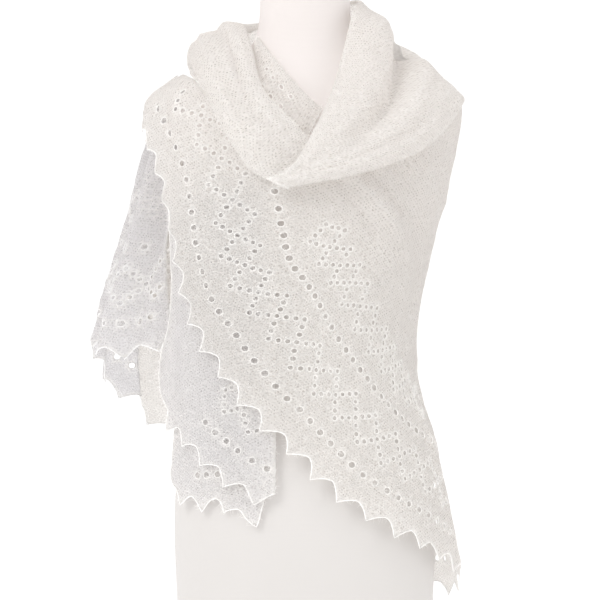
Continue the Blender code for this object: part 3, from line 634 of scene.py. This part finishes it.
def lacePaint(name, tint, shadow):
    # fine knitted mohair: rows of small open stitches, a loose web of thicker yarn, more round the holes
    knit = {"wide": 0.0039, "high": 0.0035, "open": 0.12, "solid": 0.40, "web": 115.0, "through": 0.70}
    paint = Paint(name)
    uv = paint.node("ShaderNodeUVMap", {"uv_map": "lace"})
    wander = paint.node("ShaderNodeTexNoise", {"noise_dimensions": "2D"},
                        {"Vector": uv, "Scale": 70.0, "Detail": 3.0})
    across = paint.node("ShaderNodeSeparateXYZ", inputs={0: uv}) * (1 / knit["wide"]) + wander * 2.6
    up = paint.node("ShaderNodeSeparateXYZ", inputs={0: uv}, output=1) * (1 / knit["high"]) + wander * 1.8
    row = up.math("FLOOR")
    across = (across + row.math("MODULO", 2.0) * 0.5).math("FRACT") - 0.5
    over = up.math("FRACT") - 0.5
    away = (across * across + over * over * 0.8).math("SQRT")
    stitchHole = 1 - away.between(knit["open"], knit["solid"])
    rim = paint.node("ShaderNodeAttribute", {"attribute_name": "rim"}, output=2)
    patchy = paint.node("ShaderNodeTexNoise", {"noise_dimensions": "2D"},
                        {"Vector": uv, "Scale": 160.0, "Detail": 3.0})
    broad = paint.node("ShaderNodeTexNoise", {"noise_dimensions": "2D"},
                       {"Vector": uv, "Scale": 16.0, "Detail": 2.0})
    webEdge = paint.node("ShaderNodeTexVoronoi", {"voronoi_dimensions": "2D", "feature": "DISTANCE_TO_EDGE"},
                         {"Vector": uv, "Scale": knit["web"], "Randomness": 0.75})
    openwork = paint.node("ShaderNodeAttribute", {"attribute_name": "openwork"}, output=2)
    openwork = openwork.math("MAXIMUM", broad.between(0.50, 0.68) * 0.7)
    web = (1 - webEdge.between(0.03, 0.17)) * openwork
    cell = webEdge.between(0.18, 0.40) * openwork
    bareness = (stitchHole * 0.62 + cell * 0.45) * (1 - rim) * patchy.between(0.20, 0.80)
    fuzz = paint.node("ShaderNodeTexNoise", {"noise_dimensions": "2D"},
                      {"Vector": uv, "Scale": 900.0, "Detail": 2.0})
    colour = paint.mix(bareness * 0.55, tint, shadow)
    colour = paint.mix((web * 0.8).math("MAXIMUM", rim * 0.9), colour, (0.995, 0.985, 0.97, 1))
    raised = (1 - stitchHole) + rim * 1.2 + web * 0.7 + fuzz * 0.35
    bump = paint.node("ShaderNodeBump", None, {"Strength": 0.5, "Distance": 0.0008, "Height": raised})
    paint.shade(Base_Color=colour, Roughness=0.92, Normal=bump, Alpha=1 - bareness * 0.7)
    paint.shade(Sheen_Weight=0.35, Sheen_Roughness=0.4)
    glow = paint.node("ShaderNodeBsdfTranslucent", None, {"Color": colour, "Normal": bump})
    clear = paint.node("ShaderNodeBsdfTransparent")
    through = paint.node("ShaderNodeMixShader", None, {0: 1 - bareness * 0.7, 1: clear, 2: glow})
    both = paint.node("ShaderNodeMixShader", None,
                      {0: knit["through"], 1: Value(paint, paint.shader.outputs[0]), 2: through})
    paint.tree.links.new(both.socket, paint.tree.nodes["Material Output"].inputs[0])
    return paint.material


def yarnPaint(name, tint):
    # plain twisted mohair yarn
    paint = Paint(name)
    place = paint.node("ShaderNodeTexCoord", output=3)
    twist = paint.node("ShaderNodeTexNoise", inputs={"Vector": place, "Scale": 700.0, "Detail": 2.0})
    colour = paint.mix(twist * 0.5, tint, (0.84, 0.81, 0.77, 1))
    bump = paint.node("ShaderNodeBump", None, {"Strength": 0.4, "Distance": 0.0004, "Height": twist})
    paint.shade(Base_Color=colour, Roughness=0.9, Normal=bump, Sheen_Weight=0.3)
    return paint.material


def coverPaint():
    # the form's cover: fine stretched jersey, woven level, with painted shade that darkens it towards the
    # bottom and a faint painted glow
    paint = Paint("formCover")
    place = paint.node("ShaderNodeTexCoord", output=3)
    mottle = paint.node("ShaderNodeTexNoise", inputs={"Vector": place, "Scale": 9.0, "Detail": 3.0})
    thread = paint.node("ShaderNodeSeparateXYZ", inputs={0: place}, output=2) * (2 * math.pi / 0.0016)
    slub = paint.node("ShaderNodeTexNoise", inputs={"Vector": place, "Scale": 420.0, "Detail": 2.0})
    woven = thread.math("SINE") * 0.5 + slub
    # painted shade: the cover is darker low down and lighter up towards the neck, as the light falls on it
    low = paint.mix(mottle, (0.545, 0.525, 0.51, 1), (0.575, 0.555, 0.54, 1))
    high = paint.mix(mottle, (0.625, 0.585, 0.57, 1), (0.65, 0.605, 0.59, 1))
    paintedShadeByHeight = paint.node("ShaderNodeSeparateXYZ", inputs={0: place}, output=2).between(0.35, 0.85)
    colour = paint.mix(paintedShadeByHeight, low, high)
    bump = paint.node("ShaderNodeBump", None, {"Strength": 0.15, "Distance": 0.0004, "Height": woven})
    paint.shade(Base_Color=colour, Roughness=0.8, Normal=bump, Sheen_Weight=0.15)
    # a faint painted glow: the cover gives off light of its own, which lightens its shade and the shade seen
    # through the lace's holes
    paint.shade(Emission_Color=(1, 0.93, 0.87, 1), Emission_Strength=0.08)
    return paint.material


def tilted(degrees):
    # lace coordinates of a stretch whose rows run at an angle to the level
    turn = math.radians(degrees)
    spin = np.array([[math.cos(turn), -math.sin(turn)], [math.sin(turn), math.cos(turn)]])
    return lambda flat: flat @ spin


def rippled(flat, depth):
    # the small unevenness of soft cloth, in metres
    x, y = flat[:, 0], flat[:, 1]
    wave = np.sin(x * 118 + np.sin(y * 61) * 1.7) * np.sin(y * 97 + np.sin(x * 43) * 2.1)
    return depth * (wave + 0.5 * np.sin(x * 241 + y * 173 + 1.3 * np.sin(y * 150)))


ivory = lacePaint("ivoryLace", (0.915, 0.90, 0.885, 1), (0.85, 0.80, 0.74, 1))
# the drape's copy of the same lace, painted darker and cooler as shade
drapeShadeIvory = lacePaint("drapeShadeLace", (0.86, 0.85, 0.855, 1), (0.76, 0.74, 0.73, 1))
shadedIvory = lacePaint("shadedLace", (0.91, 0.90, 0.90, 1), (0.84, 0.81, 0.78, 1))

yarnPaints = {"ivoryLace": yarnPaint("ivoryYarn", (0.98, 0.97, 0.955, 1)),
              # the drape's yarn, painted darker as shade
              "drapeShadeLace": yarnPaint("drapeShadeYarn", (0.92, 0.92, 0.93, 1)),
              "shadedLace": yarnPaint("shadedYarn", (0.97, 0.96, 0.95, 1))}

# The dress form
bodyShape = {"sides": 96, "rings": 150}
built = bmesh.new()
bmesh.ops.create_grid(built, x_segments=bodyShape["sides"], y_segments=bodyShape["rings"], size=0.5)
for vert in built.verts:
    turn, height = (vert.co.x + 0.5) * 2 * math.pi, (vert.co.y + 0.5) * bodyRows[-1][0]
    vert.co = Vector(onBody(np.array(turn), np.array(height)))
bmesh.ops.remove_doubles(built, verts=built.verts, dist=0.0001)
bmesh.ops.holes_fill(built, edges=[edge for edge in built.edges if edge.is_boundary], sides=0)
bmesh.ops.recalc_face_normals(built, faces=built.faces)
formBody = addPiece("formBody", built, coverPaint())
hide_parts("dress_form")
print("dress form done")

# The shawl's one long stretch: across the front, round the back and over the place of the left arm
frontLine, backLine = Hem(frontHem), Hem(backHem)
drapeLine = Hem([(angle + 360, height) for angle, height in drapeHem])
tuckPart = [(angle - cloth["tuckFrom"]) / (cloth["tuckTo"] - cloth["tuckFrom"]) for angle, _ in backTop]
backTuck = [(angle, height + cloth["tuck"] * max(math.sin(math.pi * part), 0))
            for part, (angle, height) in zip(tuckPart, backTop)]
topLine = [Hem([(angle + 360, height) for angle, height in drapeTop]), Hem(backTuck), Hem(frontTop)]
shawlOutline = np.concatenate([line.pointed() for line in (frontLine, backLine, drapeLine)]
                              + [line.steps() for line in topLine])
rowA, rowB = lace["rowDepth"], lace["rowDepth"] + lace["band"]
bandA, bandB = rowA + lace["band"] / 2, rowB + lace["band"] / 2
frontRows = [("eyelets", 0.06, 0, rowA), ("eyelets", 0.06, 0, rowB),
             ("diamonds", 0.07, 0, bandA), ("diamonds", 0.27, 0.12, bandB)]
backRows = [("eyelets", 0.05, 0.02, rowA), ("eyelets", 0.02, 0.02, rowB), ("diamonds", 0.03, 0.02, bandA)]
drapeRows = [("eyelets", 0.02, 0, rowA), ("eyelets", 0.03, 0.04, rowB),
             ("diamonds", 0.02, 0, bandA), ("diamonds", 0.04, 0.06, bandB)]
shawlHoles = frontLine.holes(frontRows) + backLine.holes(backRows) + drapeLine.holes(drapeRows)

step = cloth["step"]
seams = [math.radians(degrees) * cloth["unrolled"] for degrees in (94.3, 232.5)]
low = np.array([seams[0] - step * math.ceil((seams[0] - shawlOutline[:, 0].min()) / step), 0.06])
high = np.array([low[0] + step * math.ceil((shawlOutline[:, 0].max() - low[0]) / step), 0.06])
high[1] += step * math.ceil((shawlOutline[:, 1].max() - low[1]) / step)
seams[1] = low[0] + step * round((seams[1] - low[0]) / step)
shawlHoles = spaced(shawlOutline, shawlHoles)
print("shawl holes", len(shawlHoles))
shawlMesh = flatCloth(shawlOutline, shawlHoles, low, high, step)

shawlFolds = frontFolds + backFolds + frontCreases + backCreases + drapeCreases
shawlFolds += [(a + 360, b, c + 360, d, e, f) for a, b, c, d, e, f in drapeFolds]
hemPoints = np.concatenate([line.points for line in (frontLine, backLine, drapeLine)])


def dress(piece, paths, holes, placeAt, paint, seed):
    # hem yarn along the given flat paths, a ring round each hole, and a halo in proportion to the cloth
    added = [eyeletYarn("%sRings" % piece.name, holes, placeAt, paint)] if holes else []
    for number, path in enumerate(paths):
        name = "%sYarn%s" % (piece.name, number or "")
        added.append(hemYarn(name, placeAt(path, np.full(len(path), 1.0)), paint))
    area = sum(face.area for face in piece.data.polygons)
    added.append(mohairHalo("%sHalo" % piece.name, piece, int(area * halo["perSquareMetre"]), seed, paint))
    return added


def shawlPlace(flat, rim):
    _, away = nearestOn(hemPoints, flat)
    curl = np.clip(1 - away / cloth["curlReach"], 0, 1) * (0.4 + np.sin(flat[:, 0] * 71 + flat[:, 1] * 33))
    out = foldRise(shawlFolds, flat) + rippled(flat, ripples["wound"])
    out = out + cloth["rimLift"] * rim + cloth["curl"] * curl
    return onShawl(flat[:, 0] / cloth["unrolled"], flat[:, 1], out)


# the drape takes the copy of the lace that is painted darker and cooler, as shade
stretches = {"frontLace": (low[0] - 1, seams[0], "front_wrap", ivory),
             "backLace": (seams[0], seams[1], "back_wrap", ivory),
             "drapeLace": (seams[1], high[0] + 1, "left_drape", drapeShadeIvory)}
hemLines = {"frontLace": frontLine, "backLace": backLine, "drapeLace": drapeLine}
for seed, (name, (start, stop, node, paint)) in enumerate(stretches.items()):
    tilt = -8 if name == "drapeLace" else -42
    piece = placed(name, columnsBetween(shawlMesh, start, stop), shawlPlace, tilted(tilt), paint)
    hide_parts(node)
    holes = [hole for hole in shawlHoles if start <= hole[0][0] < stop]
    extra = dress(piece, [hemLines[name].pointed()], holes, shawlPlace, yarnPaints[paint.name], seed)
    print(name, len(piece.data.polygons))
shawlMesh.free()


def layEnd(name, topRows, holes, hemPath, placeAt, tilt, node, paint):
    outline = np.concatenate([hemPath, Hem(topRows).steps()])
    low, high = outline.min(axis=0) - step, outline.max(axis=0) + step
    holes = spaced(outline, holes)
    flatMesh = flatCloth(outline, holes, low, high, step)
    piece = placed(name, flatMesh, placeAt, tilted(tilt), paint)
    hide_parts(node)
    extra = dress(piece, [hemPath], holes, placeAt, yarnPaints[paint.name], len(name))
    print(name, len(piece.data.polygons))


def hanging(surface, layers, folds):
    # the place of an end, so many layers outside the wound cloth
    def placeAt(flat, rim):
        out = layers * cloth["layer"] + foldRise(folds, flat) + rippled(flat, ripples["hanging"])
        return surface(flat[:, 0] / cloth["unrolled"], flat[:, 1], out + cloth["rimLift"] * rim)
    return placeAt


thrownLine = Hem(thrownHem)
thrownRows = [("eyelets", 0.06, 0.08, rowA), ("diamonds", 0.08, 0.10, bandA)]
layEnd("thrownLace", thrownTop, thrownLine.holes(thrownRows), thrownLine.pointed(),
       hanging(onShawl, 1.3, thrownFolds), -20, "thrown_end", ivory)

upperLine = Hem(upperHem)
upperRows = [("eyelets", 0.36, 0, rowA), ("diamonds", 0.36, 0.02, bandA)]
layEnd("upperEndLace", upperTop, upperLine.holes(upperRows), upperLine.pointed(0.30),
       hanging(onWrap, -1, endFolds), -35, "under_end_upper", shadedIvory)

lowerLine = Hem(lowerHem)
layEnd("lowerEndLace", lowerTop, lowerLine.holes([("eyelets", 0.10, 0.01, rowA)]), lowerLine.pointed(0.08),
       hanging(onWrap, -2, endFolds), -20, "under_end_lower", shadedIvory)


# The rolled top edge
roll = {"lip": math.radians(14), "lipGap": 0.0035, "outerGap": 0.006, "creaseAt": 0.46, "creaseWidth": 0.10,
        "rowLength": 0.045, "girth": 0.170}


def keepClear(point, gap):
    # moves points out level with themselves until they are clear of the wound cloth or the form
    x, y, z = point[:, 0], point[:, 1], point[:, 2]
    right, left, front, back = readRows(wrapRows, z)
    side, bodyFront, bodyBack = readRows(bodyRows, z)
    wrapWide = np.where(x > 0, right, left)
    angle = np.degrees(np.arctan2(x / wrapWide, -y / np.where(y < 0, front, back)))
    cover = readRows(frontTop[::-1], np.clip(angle, -92, 94))[0]
    cover = np.where(np.abs(angle) < 94, cover, wrapRows[-1][0])
    cover = np.clip((cover + 0.030 - z) / 0.020, 0, 1)
    wide = side + (wrapWide - side) * cover + gap
    deep = np.where(y < 0, bodyFront + (front - bodyFront) * cover, bodyBack + (back - bodyBack) * cover)
    reach = np.hypot(x / wide, y / (deep + gap))
    reach = np.where(reach < 1, reach, 1)[:, None]
    return np.concatenate([point[:, :2] / reach, point[:, 2:]], axis=1)


def rollPlace(rows, along, roundIt, out):
    keyed = [(place, *row) for place, row in enumerate(rows)]

    def ends(key):
        values = readRows(keyed, key)
        return np.stack(values[:3], axis=-1), np.stack(values[3:6], axis=-1), values[6], values[7]

    rim, edge, swell, crease = ends(along)
    rimBefore, edgeBefore, _, _ = ends(along - 0.4)
    rimAfter, edgeAfter, _, _ = ends(along + 0.4)
    forward = (rimAfter + edgeAfter) - (rimBefore + edgeBefore)
    outward = np.cross(edge - rim, forward)
    outward /= np.linalg.norm(outward, axis=1, keepdims=True)
    middle = (rim + edge) / 2
    middle[:, 2] = 0.10
    outward *= np.where(np.sum(outward * middle, axis=1) < 0, -1, 1)[:, None]
    turn = -roll["lip"] + roundIt * (math.pi + 2 * roll["lip"])
    part = (1 - np.cos(turn)) / 2
    height = np.sin(turn)
    dent = crease * np.exp(-((part - roll["creaseAt"]) / roll["creaseWidth"]) ** 2)
    point = rim + (edge - rim) * part[:, None] + outward * (swell * height - dent + out)[:, None]
    return keepClear(point, roll["lipGap"] + np.maximum(height, 0) * roll["outerGap"])


def rollSizes(rows):
    # real lengths along the middle of a roll and round it, at even steps along its table
    along, across = np.linspace(0, len(rows) - 1, 4 * len(rows)), np.linspace(0, 1, 25)
    grid = rollPlace(rows, np.repeat(along, 25), np.tile(across, len(along)), np.zeros(25 * len(along)))
    grid = grid.reshape(len(along), 25, 3)
    run = np.linalg.norm(np.diff(grid[:, 12], axis=0), axis=1)
    girth = np.linalg.norm(np.diff(grid, axis=1), axis=2).sum(axis=1)
    return along, np.concatenate([[0], np.cumsum(run)]), girth


def layRoll(name, rows, holes, folds, tilt, nodes, paint, flat):
    size = np.array([(len(rows) - 1) * roll["rowLength"], roll["girth"]])
    outline = np.array([[0, 0], [size[0], 0], size, [0, size[1]]])
    stations, runs, girths = rollSizes(rows)

    def laceAt(flat):
        along = flat[:, 0] / roll["rowLength"]
        over = (flat[:, 1] / roll["girth"] - 0.5) * np.interp(along, stations, girths)
        return tilted(tilt)(np.stack([np.interp(along, stations, runs), over], axis=-1))

    flatMesh = flatCloth(outline + np.array([[-1, -1], [1, -1], [1, 1], [-1, 1]]) * 0.3 * step, holes,
                         np.zeros(2), size, step)

    def placeAt(flat, rim):
        rise = np.zeros(len(flat))
        for along, part, endAlong, endPart, width, lift in folds:
            start = np.array([along * roll["rowLength"], part * roll["girth"]])
            line = np.array([endAlong * roll["rowLength"], endPart * roll["girth"]]) - start
            share = np.clip((flat - start) @ line / (line @ line), 0, 1)
            away = np.linalg.norm(flat - start - share[:, None] * line, axis=1) / width
            rise += lift * np.exp(-away * away)
        rise += rippled(flat, ripples["rolled"]) + cloth["rimLift"] * rim
        shoulder = np.sin(np.clip(flat[:, 1] / roll["girth"], 0, 1) * math.pi)
        return rollPlace(rows, flat[:, 0] / roll["rowLength"], np.clip(flat[:, 1] / roll["girth"], 0, 1),
                         rise * np.maximum(shoulder, 0))

    piece = placed(name, flatMesh, placeAt, laceAt, paint)
    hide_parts(*nodes)
    extra = dress(piece, [], holes, placeAt, yarnPaints[paint.name], len(name))
    print(name, len(piece.data.polygons))


collarFolds = [        # along the roll and round it, from 0 at the neck to 1
    (1.0, 0.30, 4.4, 0.52, 0.010, -0.0040), (2.2, 0.72, 5.2, 0.80, 0.009, 0.0030),
    (3.4, 0.20, 7.4, 0.36, 0.008, 0.0035), (4.6, 0.62, 7.0, 0.70, 0.012, -0.0030),
    (5.6, 0.22, 8.6, 0.28, 0.009, -0.0030), (7.4, 0.55, 9.6, 0.45, 0.011, 0.0035),
    (9.0, 0.66, 12.0, 0.60, 0.010, -0.0040), (9.6, 0.30, 12.4, 0.34, 0.012, 0.0035),
    (11.6, 0.46, 14.6, 0.40, 0.010, -0.0045), (12.4, 0.70, 15.4, 0.66, 0.009, 0.0030),
    (13.6, 0.26, 17.0, 0.34, 0.008, 0.0030), (15.0, 0.52, 18.2, 0.50, 0.009, -0.0030),
    (12.2, 0.56, 15.6, 0.64, 0.006, 0.0034), (13.2, 0.38, 16.4, 0.47, 0.005, -0.0032),
    (14.4, 0.62, 17.6, 0.59, 0.006, -0.0030), (16.0, 0.38, 18.6, 0.42, 0.005, 0.0026),
    (2.6, 0.36, 5.0, 0.31, 0.006, 0.0032), (3.2, 0.62, 6.2, 0.54, 0.007, 0.0034),
    (4.2, 0.76, 7.6, 0.84, 0.006, -0.0032), (1.4, 0.55, 3.6, 0.70, 0.006, -0.0028),
]
layRoll("rolledCollar", collarRows, [], collarFolds, 24, ["cowl_right", "collar_back", "cowl_left"], ivory,
        (0.19, 0.86, 0.15))

innerFolds = [(0.5, 0.4, 5.5, 0.6, 0.012, 0.0015)]
innerHoles = [(np.array([along * roll["rowLength"], part * roll["girth"]]), lace["eyelet"])
              for along in (2.4, 2.9, 3.4, 3.9) for part in (0.38, 0.56)]
layRoll("innerFold", innerRows, innerHoles, innerFolds, 15, ["cowl_inner"], ivory, (0.10, 0.27, 0.010))

# Floor, light and camera
floorMesh = bmesh.new()
bmesh.ops.create_circle(floorMesh, cap_ends=True, segments=96, radius=1.1)
mesh = bpy.data.meshes.new("floor")
floorMesh.to_mesh(mesh)
floorMesh.free()
floor = bpy.data.objects.new("floor", mesh)
scene.collection.objects.link(floor)
floorPaint = Paint("paleFloor")
floorPaint.shade(Base_Color=(0.95, 0.95, 0.95, 1), Roughness=0.9)
mesh.materials.append(floorPaint.material)

light = {"world": 1.15, "key": 30, "fill": 5, "back": 6}
scene.world = bpy.data.worlds.new("studio")
scene.world.use_nodes = True
scene.world.node_tree.nodes["Background"].inputs["Color"].default_value = (1, 1, 1, 1)
scene.world.node_tree.nodes["Background"].inputs["Strength"].default_value = light["world"]
scene.view_settings.view_transform = "Standard"


def softLight(name, place, target, size, power):
    lamp = bpy.data.lights.new(name, "AREA")
    lamp.shape = "DISK"
    lamp.size, lamp.energy = size, power
    holder = bpy.data.objects.new(name, lamp)
    scene.collection.objects.link(holder)
    holder.location = place
    holder.rotation_euler = (Vector(target) - Vector(place)).to_track_quat("-Z", "Y").to_euler()


softLight("keyLight", (-1.6, -2.2, 2.3), (0, 0, 0.5), 1.4, light["key"])
softLight("fillLight", (2.2, -1.8, 1.2), (0, 0, 0.5), 1.6, light["fill"])
softLight("backLight", (0.6, 2.2, 2.0), (0, 0, 0.6), 1.2, light["back"])

view = {"distance": 3.2, "pixel": 0.00133, "place": (-0.00665, 0.474)}
lens = bpy.data.cameras.new("photoCamera")
lens.angle = 2 * math.atan(300 * view["pixel"] / view["distance"])
camera = bpy.data.objects.new("photoCamera", lens)
camera.location = (view["place"][0], -view["distance"], view["place"][1])
camera.rotation_euler = (math.radians(90), 0, 0)
scene.collection.objects.link(camera)
scene.camera = camera
print("lights and camera done")
